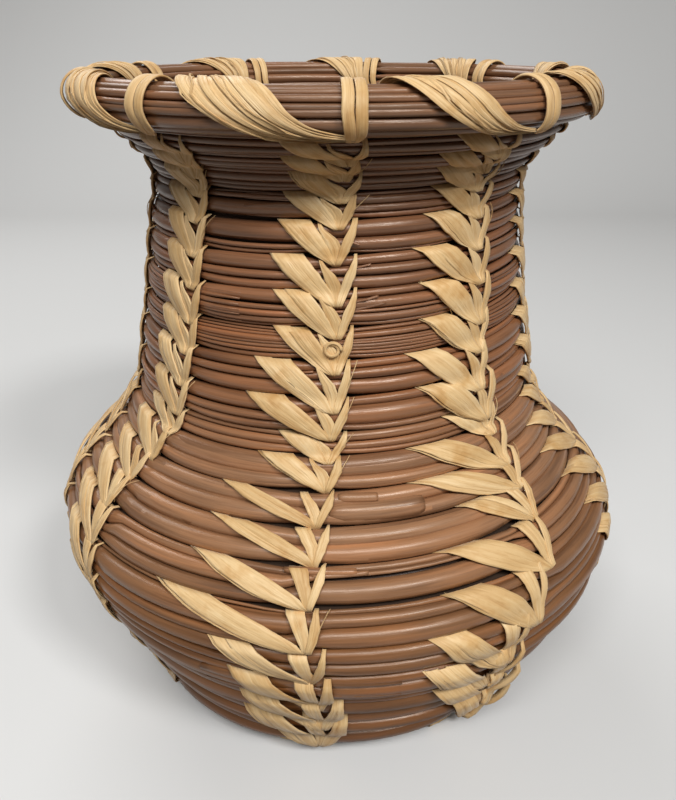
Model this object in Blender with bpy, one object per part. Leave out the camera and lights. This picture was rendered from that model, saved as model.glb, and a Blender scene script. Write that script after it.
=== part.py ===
"""A small coiled basket: a vase with a round belly, a narrow neck and a flared rim.

One bundle of plant stems winds in a spiral from a knot in the middle of the base, out to the foot, up the
belly and neck, and ends in a thicker roll round the rim. Nine lines of raffia stitches hold each row to the
row below it. Every line is one ladder: an outer strand, an inner strand and a rung through every groove, with
a slanting leaf laid over each row. At the rim each line ends in a broad band and an upright wrap.

Units are metres. The basket stands on z = 0, and azimuth 0 is its front, towards -Y, growing towards +X.
"""
import math

import bmesh
import bpy
import numpy as np
from mathutils import Vector
from mathutils.geometry import interpolate_bezier

MM = 0.001
TAU = 2 * math.pi

# Gaps between pieces that touch on the real basket
SEAT_GAP = 0.3 * MM
INNER_SEAT_GAP = 0.65 * MM
ROW_GAP = 0.5 * MM
STITCH_GAP = 1.2 * MM
GROOVE_SEAT_GAP = 0.4 * MM

# The bundle: laps in the base, then the height of each groove up the wall at the front stitch line
BASE_LAPS = 6
FOOT_RADIUS = 39.5 * MM
GROOVE_OUT = 1.7 * MM
GROOVE_HEIGHTS = (
    4.0, 12.6, 22.2, 31.8, 40.9, 48.5, 55.9, 62.0, 67.2, 72.6, 78.6, 82.8, 89.7, 96.7, 102.6, 109.5, 115.8,
    121.9, 126.6, 130.4, 133.4,
)
TAPER_LAPS = 0.2
SPLICE_OFFSET = 0.8 * MM
SPLICE_LAPS = (5, 14)
MIDDLE_POINT_GAP = 40

# The vase: radius and height of the bundle's centre line, from the knot to the roll at the rim
KNOT_RADIUS = 4.4 * MM
DOME_HEIGHT = 6.4 * MM
SOLE_HEIGHT = 2.5 * MM
SOLE_CLEARANCE = 0.3 * MM
RIM_RADIUS = 49.7 * MM
RIM_HEIGHT = 141.0 * MM
RIM_ROLL = 4.0 * MM
CENTRE_LINE = (
    (KNOT_RADIUS + SEAT_GAP, DOME_HEIGHT),
    (19.0 * MM, 5.8 * MM),
    (27.5 * MM, 3.9 * MM),
    (33.0 * MM, SOLE_HEIGHT),
    (39.5 * MM, SOLE_HEIGHT),
    (44.0 * MM, 6.3 * MM),
    (48.0 * MM, 13.8 * MM),
    (53.8 * MM, 26.0 * MM),
    (63.8 * MM, 46.0 * MM),
    (60.8 * MM, 56.0 * MM),
    (51.0 * MM, 66.7 * MM),
    (44.4 * MM, 77.5 * MM),
    (40.7 * MM, 95.0 * MM),
    (37.9 * MM, 115.0 * MM),
    (37.6 * MM, 127.0 * MM),
    (42.3 * MM, 133.8 * MM),
    (RIM_RADIUS, RIM_HEIGHT),
)

# The nine lines of stitches: azimuth at the foot and at the rim, in degrees
STITCH_LINES = (
    (-47, -36), (-3, 3), (42, 40), (80, 81), (126, 127), (165, 166), (201, 202), (240, 241), (281, 283),
)
LEAF_SPREAD = 14
STRAND_WIDTH = 2.4 * MM
STRAND_THICKNESS = 0.7 * MM
FIRST_STITCHED_LAP = 1.9
THINNEST_STITCHED_ROW = 3.5 * MM
LEAF_HEIGHT = 0.85
LEAST_LEAF_SLOPE = math.radians(20)

# The rim: width of the upright wraps, and of the broad bands at their foot and at their top
WRAP_WIDTH = 4.2 * MM
BAND_FOOT_WIDTH = 3.5 * MM
BAND_TOP_WIDTH = 10.5 * MM
BAND_SPREAD = 14.5
BAND_STEPS = 6
BAND_ANGLES = (-55, 90)
WRAP_ANGLES = (-52, -30, 30, 90, 150, 210, 232)
BAND_SEAT_GAP = 0.7 * MM
RIM_JOINT_LINE = 5
RIM_STOPS = (-26, -13, 0, 7.5)

STEM_BROWN = (0.205, 0.110, 0.070)
RAFFIA_STRAW = (0.700, 0.480, 0.235)

# The hand-made wall isn't quite round its own middle: how far each level stands to the right of the widest row
LEAN_HEIGHTS = (0, 14, 46, 66, 112, 128, 134, 141)
LEAN_SHIFTS = (-2.0, 0, 0, -0.8, -0.6, 0.2, 0.2, -1.2)


def clear_scene():
    for thing in list(bpy.data.objects):
        bpy.data.objects.remove(thing, do_unlink=True)


def make_material(name, colour, roughness):
    material = bpy.data.materials.new(name)
    material.use_nodes = True
    shader = material.node_tree.nodes["Principled BSDF"]
    shader.inputs["Base Color"].default_value = (*colour, 1)
    shader.inputs["Roughness"].default_value = roughness
    shader.inputs["Metallic"].default_value = 0
    return material


def add_object(name, data, material):
    thing = bpy.data.objects.new(name, data)
    bpy.context.scene.collection.objects.link(thing)
    thing.data.materials.append(material)
    return thing


def finish_mesh(name, work, material):
    """Turn a bmesh into a smooth-shaded object with its faces pointing out."""
    bmesh.ops.recalc_face_normals(work, faces=work.faces[:])
    mesh = bpy.data.meshes.new(name)
    work.to_mesh(mesh)
    work.free()
    mesh.shade_smooth()
    mesh.set_sharp_from_angle(angle=math.radians(40))
    return add_object(name, mesh, material)


class Section:
    """The centre line of the wall as a smooth curve, measured by its length from the knot."""

    STEPS = 24

    def __init__(self, points):
        knots = [Vector((radius, height, 0)) for radius, height in points]
        curve = []
        for i in range(len(knots) - 1):
            before = knots[max(i - 1, 0)]
            after = knots[min(i + 2, len(knots) - 1)]
            reach = (knots[i + 1] - knots[i]).length / 3
            leave = knots[i] + (knots[i + 1] - before).normalized() * reach
            arrive = knots[i + 1] - (after - knots[i]).normalized() * reach
            curve += interpolate_bezier(knots[i], leave, arrive, knots[i + 1], self.STEPS)[:-1]
        curve.append(knots[-1])
        self.radius = np.array([point.x for point in curve])
        self.height = np.array([point.y for point in curve])
        step = np.hypot(np.diff(self.radius), np.diff(self.height))
        self.length = np.concatenate([[0], np.cumsum(step)])

    def at(self, length):
        """Radius and height at a length along the wall."""
        return (float(np.interp(length, self.length, self.radius)),
                float(np.interp(length, self.length, self.height)))

    def slope(self, length):
        """Angle of the wall above level, from 0 on the base to a right angle on an upright wall."""
        near = 1.5 * MM
        radius_a, height_a = self.at(length - near)
        radius_b, height_b = self.at(length + near)
        return math.atan2(height_b - height_a, radius_b - radius_a)


class Rows:
    """Shares the wall out into the laps of the spiral: even ones in the base, then by the groove heights."""

    def __init__(self, section):
        front = STITCH_LINES[1][0] - STITCH_LINES[0][0] + LEAF_SPREAD
        low_edge = front / 360 - 0.5
        foot = int(np.argmax(section.radius > FOOT_RADIUS))
        slope = np.arctan2(np.gradient(section.height), np.gradient(section.radius))
        outside = section.height - GROOVE_OUT * np.cos(slope)
        grooves = np.interp(np.array(GROOVE_HEIGHTS) * MM, outside[foot:], section.length[foot:])
        self.count = BASE_LAPS + len(GROOVE_HEIGHTS)
        self.laps = np.concatenate([[0], BASE_LAPS + low_edge + np.arange(len(grooves)), [self.count]])
        self.length = np.concatenate([[0], grooves, [section.length[-1] - RIM_ROLL - ROW_GAP / 2]])

    def length_at(self, lap):
        return float(np.interp(lap, self.laps, self.length))

    def span(self, lap):
        """Lower and upper edge of the bundle at a lap. Both ends of the bundle thin out over a lap."""
        return self.length_at(max(lap - 0.5, 0)), self.length_at(min(lap + 0.5, self.count))


class Station:
    """One point of the bundle: where it is, which way the wall runs there, and how thick the bundle is."""

    def __init__(self, section, rows, lap, azimuth, line=None):
        low, high = rows.span(lap)
        self.lap = lap
        self.azimuth = azimuth
        self.line = line
        self.row = high - low
        self.length = (low + high) / 2
        self.radius, self.height = section.at(self.length)
        self.slope = section.slope(self.length)
        gap = ROW_GAP if line is None else STITCH_GAP
        self.thickness = (self.row - gap) / 2

    def point(self, outward=0.0, along=0.0, sideways=0.0):
        """A point beside the station: outward from the wall, along it towards the rim, and sideways."""
        radius = self.radius + outward * math.sin(self.slope) + along * math.cos(self.slope)
        height = self.height - outward * math.cos(self.slope) + along * math.sin(self.slope)
        turn = math.radians(self.azimuth)
        across = Vector((math.cos(turn), math.sin(turn), 0))
        return Vector((radius * math.sin(turn), -radius * math.cos(turn), height)) + across * sideways

    def face(self):
        """Distance from the bundle's middle to its flat outer face."""
        return self.thickness * math.cos(math.radians(30))


def line_azimuth(line, height):
    foot, rim = STITCH_LINES[line]
    return foot + (rim - foot) * height / RIM_HEIGHT


def lap_stops():
    """The azimuths that every lap stops at: a leaf's tip, a stitch line, and the middle of a wide gap."""
    stops = []
    for line, (foot, rim) in enumerate(STITCH_LINES):
        following = STITCH_LINES[(line + 1) % len(STITCH_LINES)][0] % 360
        gap = (following - foot) % 360
        stops.append((line, -LEAF_SPREAD, None))
        stops.append((line, 0, line))
        if gap > MIDDLE_POINT_GAP:
            stops.append((line, (gap - LEAF_SPREAD) / 2, None))
    return stops


def wind_bundle(section, rows):
    """All the stations of the spiral, from the thin start at the knot to the thin end under the rim."""
    first = STITCH_LINES[0][0] - LEAF_SPREAD
    stations = []
    for whole_lap in range(-1, rows.count + 1):
        for line, turn, stitched in lap_stops():
            rough_lap = whole_lap + (STITCH_LINES[line][0] + turn - first) / 360
            height = section.at(rows.length_at(rough_lap))[1]
            azimuth = line_azimuth(line, height) + turn
            lap = whole_lap + (azimuth - first) / 360
            if -TAPER_LAPS <= lap <= rows.count + TAPER_LAPS:
                stations.append(Station(section, rows, lap, azimuth, stitched))
    return stations


def split_bundle(stations):
    """Cut the bundle into base, belly and neck at stitch lines, where a new bundle is spliced in."""
    cuts = [0]
    for lap in SPLICE_LAPS:
        cuts.append(next(i for i, s in enumerate(stations) if s.lap > lap and s.line is not None))
    stretches = [(stations[a:b + 1], stations[b + 1]) for a, b in zip(cuts, cuts[1:])]
    return stretches + [(stations[cuts[-1]:], None)]


def tube_mesh(name, points, thicknesses, tilts):
    """A six-sided tube with closed ends along the points."""
    curve = bpy.data.curves.new(name, "CURVE")
    curve.dimensions = "3D"
    curve.twist_mode = "Z_UP"
    curve.bevel_depth = 1.0
    curve.bevel_resolution = 1
    curve.use_fill_caps = True
    spline = curve.splines.new("POLY")
    spline.points.add(len(points) - 1)
    for knot, point, thickness, tilt in zip(spline.points, points, thicknesses, tilts):
        knot.co = (*point, 1)
        knot.radius = thickness
        knot.tilt = tilt
    guide = bpy.data.objects.new(name, curve)
    bpy.context.scene.collection.objects.link(guide)
    bpy.context.view_layer.update()
    evaluated = guide.evaluated_get(bpy.context.evaluated_depsgraph_get())
    mesh = bpy.data.meshes.new_from_object(evaluated)
    bpy.data.objects.remove(guide)
    work = bmesh.new()
    work.from_mesh(mesh)
    bpy.data.meshes.remove(mesh)
    bmesh.ops.remove_doubles(work, verts=work.verts[:], dist=0.001 * MM)
    return work


def add_stretch(name, stations, following, material):
    """One stretch of the bundle, cut flat where it would reach below the floor.

    It is butted to its neighbours a little past the stitch line, so that the line's strands cover the joint.
    """
    points = [station.point() for station in stations]
    if stations[0].line is not None:
        points[0] += (points[1] - points[0]).normalized() * (SPLICE_OFFSET + SEAT_GAP)
    if following is not None:
        points.append(points[-1] + (following.point() - points[-1]).normalized() * SPLICE_OFFSET)
        stations = stations + [stations[-1]]
    tilts = [-station.slope for station in stations]
    work = tube_mesh(name, points, [station.thickness for station in stations], tilts)
    cut = bmesh.ops.bisect_plane(
        work, geom=work.verts[:] + work.edges[:] + work.faces[:], dist=0.001 * MM,
        plane_co=(0, 0, 0), plane_no=(0, 0, -1), clear_outer=True)
    rim = [item for item in cut["geom_cut"] if isinstance(item, bmesh.types.BMEdge)]
    if rim:
        bmesh.ops.holes_fill(work, edges=rim, sides=0)
    return finish_mesh(name, work, material)


def least_row_gap(stations):
    """Smallest gap between a row and the row above it, between the facing corners of the two."""
    gaps = []
    for low in stations:
        for high in stations:
            if 0.9 < high.lap - low.lap < 1.1 and abs((high.azimuth - low.azimuth + 180) % 360 - 180) < 4:
                top = low.point(along=low.thickness)
                bottom = high.point(along=-high.thickness)
                gaps.append((bottom - top).length)
    return min(gaps)


def add_knot(material):
    """The wound raffia knot that the bundle starts from: a round pad, hollowed above and below."""
    profile = ((0, 1.3), (2.2, 1.9), (3.6, 1.7), (4.4, 0), (3.6, -1.7), (2.2, -1.9), (0, -1.3))
    work = bmesh.new()
    verts = [work.verts.new((radius * MM, 0, DOME_HEIGHT + height * MM)) for radius, height in profile]
    edges = [work.edges.new(pair) for pair in zip(verts, verts[1:])]
    bmesh.ops.spin(work, geom=verts + edges, cent=(0, 0, 0), axis=(0, 0, 1), angle=TAU, steps=14,
                   use_merge=True)
    bmesh.ops.remove_doubles(work, verts=work.verts[:], dist=0.001 * MM)
    return finish_mesh("start_knot", work, material)


def on_sole(station):
    """Whether a strand laid over this row would reach below the floor."""
    out = station.face() + SEAT_GAP + STRAND_THICKNESS
    lowest = min(station.point(out, -station.row / 2).z, station.point(out, station.row / 2).z)
    return lowest < SOLE_CLEARANCE


def hole_corners(station, side):
    """Corners of the hole that a row passes through, from outside to inside.

    The lower side is -1 and the upper side is 1. On the sole the outer corner stays above the floor.
    """
    flat = station.thickness / 2 + SEAT_GAP
    outer = station.point(station.face() + SEAT_GAP, side * flat)
    middle = station.point(0, side * (station.thickness + GROOVE_SEAT_GAP))
    inner = station.point(-station.face() - INNER_SEAT_GAP, side * flat)
    if outer.z < SOLE_CLEARANCE:
        outer = middle.lerp(outer, (middle.z - SOLE_CLEARANCE) / (middle.z - outer.z))
    return outer, middle, inner


def groove(low, high, outward):
    """A point in the groove between two rows, a given way out from the wall's centre line."""
    point = low.point(outward, low.row / 2).lerp(high.point(outward, -high.row / 2), 0.5)
    point.z = max(point.z, SOLE_CLEARANCE)
    return point


def ladder_edges(stitches):
    """The outer and the inner edge of the ladder: a point in each groove, and one past each end row."""
    outer, inner = [], []
    first, last = stitches[0], stitches[-1]
    for station, edge in ((first, -first.row / 2 - STRAND_THICKNESS / 2), (last, last.row / 2)):
        outer.append(station.point(station.face() + SEAT_GAP + STRAND_THICKNESS, edge))
        inner.append(station.point(-station.face() - INNER_SEAT_GAP - STRAND_THICKNESS, edge))
    for low, high in zip(stitches, stitches[1:]):
        face = max(low.face(), high.face())
        outer.insert(-1, groove(low, high, face + SEAT_GAP + STRAND_THICKNESS))
        inner.insert(-1, groove(low, high, -face - INNER_SEAT_GAP - STRAND_THICKNESS))
    return outer, inner


def add_stitch_line(number, stitches, tips, material):
    """One line of wheat stitch: a ladder through every groove, with a leaf over each row.

    Under the foot the outer strand is left out, because there the real one is pressed flat into the row.
    """
    work = bmesh.new()
    turns = [math.radians(station.azimuth) for station in stitches + stitches[-1:]]
    across = [Vector((math.cos(turn), math.sin(turn), 0)) for turn in turns]
    sideways = {}

    def left_vertex(point, i):
        vert = work.verts.new(point - across[i] * STRAND_WIDTH / 2)
        sideways[vert] = across[i]
        return vert

    outer_edge, inner_edge = ladder_edges(stitches)
    outer_edge = [left_vertex(point, i) for i, point in enumerate(outer_edge)]
    inner_edge = [left_vertex(point, i) for i, point in enumerate(inner_edge)]
    lower, upper = [], []
    for i, station in enumerate(stitches):
        lower.append([left_vertex(point, i) for point in hole_corners(station, -1)])
        upper.append([left_vertex(point, i) for point in hole_corners(station, 1)])
    flush = [on_sole(station) for station in stitches]

    strands = []
    for i, (low, high) in enumerate(zip(lower, upper)):
        work.faces.new((inner_edge[i], low[2], high[2], inner_edge[i + 1]))
        if not flush[i]:
            corners = (outer_edge[i], outer_edge[i + 1], high[0], low[0])
            strands.append((i, work.faces.new(corners), corners))
        if i == 0:
            work.faces.new((outer_edge[0], low[0], low[1], low[2], inner_edge[0]))
            continue
        below = upper[i - 1]
        work.faces.new((inner_edge[i], below[2], below[1], low[1], low[2]))
        rung = [below[1], below[0], outer_edge[i], low[0], low[1]]
        if flush[i] and flush[i - 1]:
            rung.remove(outer_edge[i])
        work.faces.new(rung)
    high = upper[-1]
    work.faces.new((outer_edge[-1], inner_edge[-1], high[2], high[1], high[0]))
    bmesh.ops.delete(work, geom=[vert for vert in work.verts if not vert.link_faces], context="VERTS")

    left = [vert for vert in work.verts]
    thick = bmesh.ops.extrude_face_region(work, geom=work.faces[:], use_keep_orig=True)
    for vert in thick["geom"]:
        if isinstance(vert, bmesh.types.BMVert):
            twin = min(left, key=lambda other: (other.co - vert.co).length_squared)
            vert.co += sideways[twin] * STRAND_WIDTH
    for i, strand, corners in strands:
        add_leaf(work, strand, corners, stitches[i], tips[i])
    return finish_mesh(f"stitch_line_{number}", work, material)


def add_leaf(work, strand, corners, station, tip):
    """Draw the leaf out of the strand's left face, up and round to the tip's station."""
    if station.height < SOLE_HEIGHT + 2 * MM or station.slope < LEAST_LEAF_SLOPE:
        return
    corners = [corner.co.copy() for corner in corners]
    made = bmesh.ops.extrude_discrete_faces(work, faces=[strand])["faces"][0]
    near = tip.face() + SEAT_GAP
    far = near + STRAND_THICKNESS
    high = LEAF_HEIGHT * tip.thickness
    low = 0.1 * tip.thickness
    places = (tip.point(far, low), tip.point(far, high), tip.point(near, high), tip.point(near, low))
    for vert in made.verts:
        twin = min(range(4), key=lambda k: (corners[k] - vert.co).length_squared)
        vert.co = places[twin]


class RimRoll:
    """The thick roll that ends the basket: one level lap whose two ends meet under a band at the back."""

    def __init__(self):
        first = STITCH_LINES[RIM_JOINT_LINE][1]
        stops = [rim + turn for _, rim in STITCH_LINES for turn in RIM_STOPS]
        self.azimuths = sorted((stop - first) % 360 + first for stop in stops)

    def corner(self, azimuth):
        turn = math.radians(azimuth)
        return Vector((RIM_RADIUS * math.sin(turn), -RIM_RADIUS * math.cos(turn), RIM_HEIGHT))

    def frame(self, azimuth):
        """Middle of the roll at an azimuth, the way it runs there, and the way out of it."""
        first = self.azimuths[0]
        azimuth = (azimuth - first) % 360 + first
        ends = self.azimuths + [first + 360]
        high = next(i for i, stop in enumerate(ends) if stop > azimuth)
        a = self.corner(ends[high - 1])
        b = self.corner(ends[high])
        run = (b - a).normalized()
        outward = Vector((run.y, -run.x, 0))
        turn = math.radians(azimuth)
        ray = Vector((math.sin(turn), -math.cos(turn), 0))
        reach = a.dot(outward) / ray.dot(outward)
        return ray * reach + Vector((0, 0, RIM_HEIGHT)), run, outward

    def surface(self, azimuth, clearance, angle):
        """A point at a clearance from the six-sided roll. Angle 0 faces outward, a right angle is the top."""
        from_flat = (angle + math.pi / 6) % (math.pi / 3) - math.pi / 6
        out = (RIM_ROLL * math.cos(math.pi / 6) + clearance) / math.cos(from_flat)
        middle, _, outward = self.frame(azimuth)
        return middle + outward * out * math.cos(angle) + Vector((0, 0, out * math.sin(angle)))

    def add(self, material):
        points = [self.corner(azimuth) for azimuth in self.azimuths]
        joint = points[0].lerp(points[-1], 0.5)
        gap = (points[0] - points[-1]).normalized() * ROW_GAP / 2
        points = [joint + gap] + points + [joint - gap]
        count = len(points)
        work = tube_mesh("rim_coil", points, [RIM_ROLL] * count, [-math.pi / 2] * count)
        return finish_mesh("rim_coil", work, material)


def add_rim_wrap(number, roll, line_azimuth_at_rim, material):
    """An upright wrap of raffia over the rim roll, tucked in under it on both sides."""
    beside = STRAND_WIDTH / 2 + SEAT_GAP + WRAP_WIDTH / 2
    azimuth = line_azimuth_at_rim + math.degrees(beside / RIM_RADIUS)
    middle, run, _ = roll.frame(azimuth)
    work = bmesh.new()
    rings = []
    for degrees in WRAP_ANGLES:
        ring = []
        for clearance in (SEAT_GAP, SEAT_GAP + STRAND_THICKNESS):
            point = roll.surface(azimuth, clearance, math.radians(degrees)) - middle
            ring.append(work.verts.new(point - run * WRAP_WIDTH / 2))
        rings.append(ring)
    for (near_a, far_a), (near_b, far_b) in zip(rings, rings[1:]):
        work.faces.new((near_a, far_a, far_b, near_b))
    thick = bmesh.ops.extrude_face_region(work, geom=work.faces[:], use_keep_orig=True)
    made = [item for item in thick["geom"] if isinstance(item, bmesh.types.BMVert)]
    bmesh.ops.translate(work, verts=made, vec=run * WRAP_WIDTH)
    wrap = finish_mesh(f"rim_wrap_{number}", work, material)
    wrap.location = middle
    return wrap


def add_rim_band(number, roll, line_azimuth_at_rim, material):
    """A broad band that fans out from the stitch line, slants up over the rim and lies on its top."""
    beside = STRAND_WIDTH / 2 + SEAT_GAP
    edge = line_azimuth_at_rim - math.degrees(beside / RIM_RADIUS)
    work = bmesh.new()
    rings = []
    first, last = BAND_ANGLES
    for step in range(BAND_STEPS + 1):
        share = step / BAND_STEPS
        angle = math.radians(first + (last - first) * share)
        width = BAND_FOOT_WIDTH + (BAND_TOP_WIDTH - BAND_FOOT_WIDTH) * share
        right = edge - BAND_SPREAD * share
        left = right - math.degrees(width / RIM_RADIUS)
        far = BAND_SEAT_GAP + STRAND_THICKNESS
        ring = (roll.surface(left, BAND_SEAT_GAP, angle), roll.surface(right, BAND_SEAT_GAP, angle),
                roll.surface(right, far, angle), roll.surface(left, far, angle))
        rings.append([work.verts.new(point) for point in ring])
    for low, high in zip(rings, rings[1:]):
        for i in range(4):
            k = (i + 1) % 4
            work.faces.new((low[i], low[k], high[k], high[i]))
    work.faces.new(rings[0])
    work.faces.new(rings[-1])
    return finish_mesh(f"rim_band_{number}", work, material)


def lean(thing):
    """Shift each level of a piece sideways by the shift at its height."""
    base = thing.location.z
    for vert in thing.data.vertices:
        vert.co.x += float(np.interp((base + vert.co.z) / MM, LEAN_HEIGHTS, LEAN_SHIFTS)) * MM
    thing.data.update()


def centre_pieces():
    """Bring the middle of the whole basket over the origin."""
    corners = [thing.location + vert.co for thing in bpy.data.objects for vert in thing.data.vertices]
    middle_x = (min(corner.x for corner in corners) + max(corner.x for corner in corners)) / 2
    middle_y = (min(corner.y for corner in corners) + max(corner.y for corner in corners)) / 2
    for thing in bpy.data.objects:
        thing.location -= Vector((middle_x, middle_y, 0))
    print("moved", round(-middle_x / MM, 2), round(-middle_y / MM, 2), "mm to the middle")


def main():
    clear_scene()
    stems = make_material("stem_bundle", STEM_BROWN, 0.45)
    raffia = make_material("raffia", RAFFIA_STRAW, 0.6)
    section = Section(CENTRE_LINE)
    rows = Rows(section)
    stations = wind_bundle(section, rows)
    add_knot(raffia)
    names = ("base_coil", "belly_coil", "neck_coil")
    for name, (stretch, following) in zip(names, split_bundle(stations)):
        add_stretch(name, stretch, following, stems)
    roll = RimRoll()
    roll.add(stems)
    for line in range(len(STITCH_LINES)):
        picked = [i for i, s in enumerate(stations)
                  if s.line == line and s.lap > FIRST_STITCHED_LAP and s.row > THINNEST_STITCHED_ROW]
        stitches = [stations[i] for i in picked]
        tips = [stations[i - 1] for i in picked]
        add_stitch_line(line + 1, stitches, tips, raffia)
        azimuth = STITCH_LINES[line][1]
        add_rim_wrap(line + 1, roll, azimuth, raffia)
        add_rim_band(line + 1, roll, azimuth, raffia)
    for thing in bpy.data.objects:
        lean(thing)
    centre_pieces()
    print("rows", rows.count, "least gap between rows", round(least_row_gap(stations) / MM, 2), "mm")


main()
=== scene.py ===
import math

import bpy
import numpy as np
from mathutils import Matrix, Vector
from mathutils.geometry import interpolate_bezier


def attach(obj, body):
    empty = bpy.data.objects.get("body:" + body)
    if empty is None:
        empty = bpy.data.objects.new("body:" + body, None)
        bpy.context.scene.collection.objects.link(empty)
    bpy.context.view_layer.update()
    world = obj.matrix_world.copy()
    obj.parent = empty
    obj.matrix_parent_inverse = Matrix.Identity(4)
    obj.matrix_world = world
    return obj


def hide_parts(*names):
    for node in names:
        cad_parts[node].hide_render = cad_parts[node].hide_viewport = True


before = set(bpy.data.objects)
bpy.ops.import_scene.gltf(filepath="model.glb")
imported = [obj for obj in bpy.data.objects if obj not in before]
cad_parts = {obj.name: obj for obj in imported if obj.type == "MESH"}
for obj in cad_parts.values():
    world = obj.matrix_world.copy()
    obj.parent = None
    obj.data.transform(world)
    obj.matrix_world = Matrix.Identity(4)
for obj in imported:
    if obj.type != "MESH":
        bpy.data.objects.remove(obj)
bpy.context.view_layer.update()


# The start knot. The basket begins in the middle of its base with one raffia strip, wound into a small ring
# and wrapped over and over until the ring closes. The first stems are laid round it and sewn to it.

MM = 0.001
TURN = 2 * math.pi
KNOT_HEIGHT = 6.4 * MM
KNOT_RING = 2.5 * MM
KNOT_TUBE = 1.55 * MM
KNOT_CORE = 1.35 * MM
KNOT_HOLE = 0.25 * MM
KNOT_STEPS = 36
TUBE_SIDES = 10
# Its windings: how many, how nearly each closes, its steps, its half width by its share of the ring, its
# slant, and its cross-section: place across it from -1 to 1, and millimetres out from the ring
WINDINGS = 11
WINDING_CLOSED = 0.985
WINDING_STEPS = 20
WINDING_SPREAD = 0.56
WINDING_SLANT = 0.25
WINDING_SECTION = ((-1, -0.10), (0, 0.02), (1, -0.10), (1, 0.12), (0, 0.26), (-1, 0.12))
# The hand-made basket isn't quite round its own middle: millimetres to the right, by height
LEAN = ((0, -2.0), (14, 0), (46, 0), (66, -0.8), (112, -0.6), (128, 0.2), (134, 0.2), (141, -1.2))
MIDDLE_X = 0.48 * MM
MIDDLE_Y = 0.33 * MM
# The lower rows of the belly hang lower on the right and higher on the left: millimetres by height
HANG = ((0, 0), (6, 0.5), (14, 1.9), (38, 1.9), (52, 0))
FLOOR_GAP = 0.03 * MM
# A strip's places across it stay just under 1, so that its own number stays whole
LAST_PLACE = 0.999


def look_up(table, place):
    """The value at a place, from a table of places and their values."""
    return np.interp(place, *zip(*table))


def stand(radius, azimuth, height):
    """Points of the basket from radius, azimuth in degrees and height, leaning as the real one does."""
    turn = np.radians(azimuth)
    height = height - look_up(HANG, height / MM) * MM * np.sin(turn)
    across = radius * np.sin(turn) + look_up(LEAN, height / MM) * MM + MIDDLE_X
    deep = MIDDLE_Y - radius * np.cos(turn)
    return np.stack(np.broadcast_arrays(across, deep, np.maximum(height, FLOOR_GAP)), axis=-1)


def round_angles(count):
    """Evenly spaced angles round a tube."""
    return np.linspace(0, TURN, count + 1)[:-1]


def connect(node, sockets):
    """Give sockets of a node their sources, each an output of another node or a plain value."""
    for socket, source in sockets:
        if isinstance(source, bpy.types.NodeSocket):
            node.id_data.links.new(source, node.inputs[socket])
        else:
            node.inputs[socket].default_value = source


def node_adder(tree):
    """A helper that adds a node to a tree, with its settings and the sources of its sockets."""
    def add(kind, sockets=(), **settings):
        node = tree.nodes.new(kind)
        for key, value in settings.items():
            if key in node.inputs:
                node.inputs[key].default_value = value
            else:
                setattr(node, key, value)
        connect(node, sockets)
        return node

    return add


def new_nodes(name):
    """A material with its shader and the helper that adds nodes."""
    material = bpy.data.materials.new(name)
    material.use_nodes = True
    tree = material.node_tree
    return material, tree.nodes["Principled BSDF"], node_adder(tree)


def ramp(add, source, stops):
    """A colour ramp over a source, with its stops as places and greys or colours."""
    node = add("ShaderNodeValToRGB", [("Fac", source)])
    node.color_ramp.interpolation = "EASE"
    elements = node.color_ramp.elements
    while len(elements) < len(stops):
        elements.new(0.5)
    for element, (place, colour) in zip(elements, stops):
        element.position = place
        element.color = (*colour, 1) if isinstance(colour, tuple) else (colour, colour, colour, 1)
    return node.outputs["Color"]


def tint(add, under, over, share):
    """A colour multiplied by another one, which counts by its share."""
    mix = add("ShaderNodeMix", [("A", under), ("B", over)], data_type="RGBA", blend_type="MULTIPLY",
              Factor=share)
    return mix.outputs["Result"]


def strip_noise(add, along, across, scale, detail, roughness):
    """Streaks that are long one way. The UV map runs in millimetres along a strip, and across it."""
    uv = add("ShaderNodeUVMap", uv_map="lay")
    stretch = add("ShaderNodeVectorMath", [(0, uv.outputs["UV"]), (1, (along, across, 1))],
                  operation="MULTIPLY")
    noise = add("ShaderNodeTexNoise", [("Vector", stretch.outputs["Vector"])], noise_dimensions="2D",
                Scale=scale, Detail=detail, Roughness=roughness)
    return noise.outputs["Fac"]


def strip_place(add):
    """Millimetres along a strip, and the strip's whole number in its piece."""
    uv = add("ShaderNodeUVMap", uv_map="lay")
    split = add("ShaderNodeSeparateXYZ", [("Vector", uv.outputs["UV"])])
    number = add("ShaderNodeMath", [(0, split.outputs["Y"])], operation="FLOOR")
    return split.outputs["X"], number.outputs["Value"]


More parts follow.
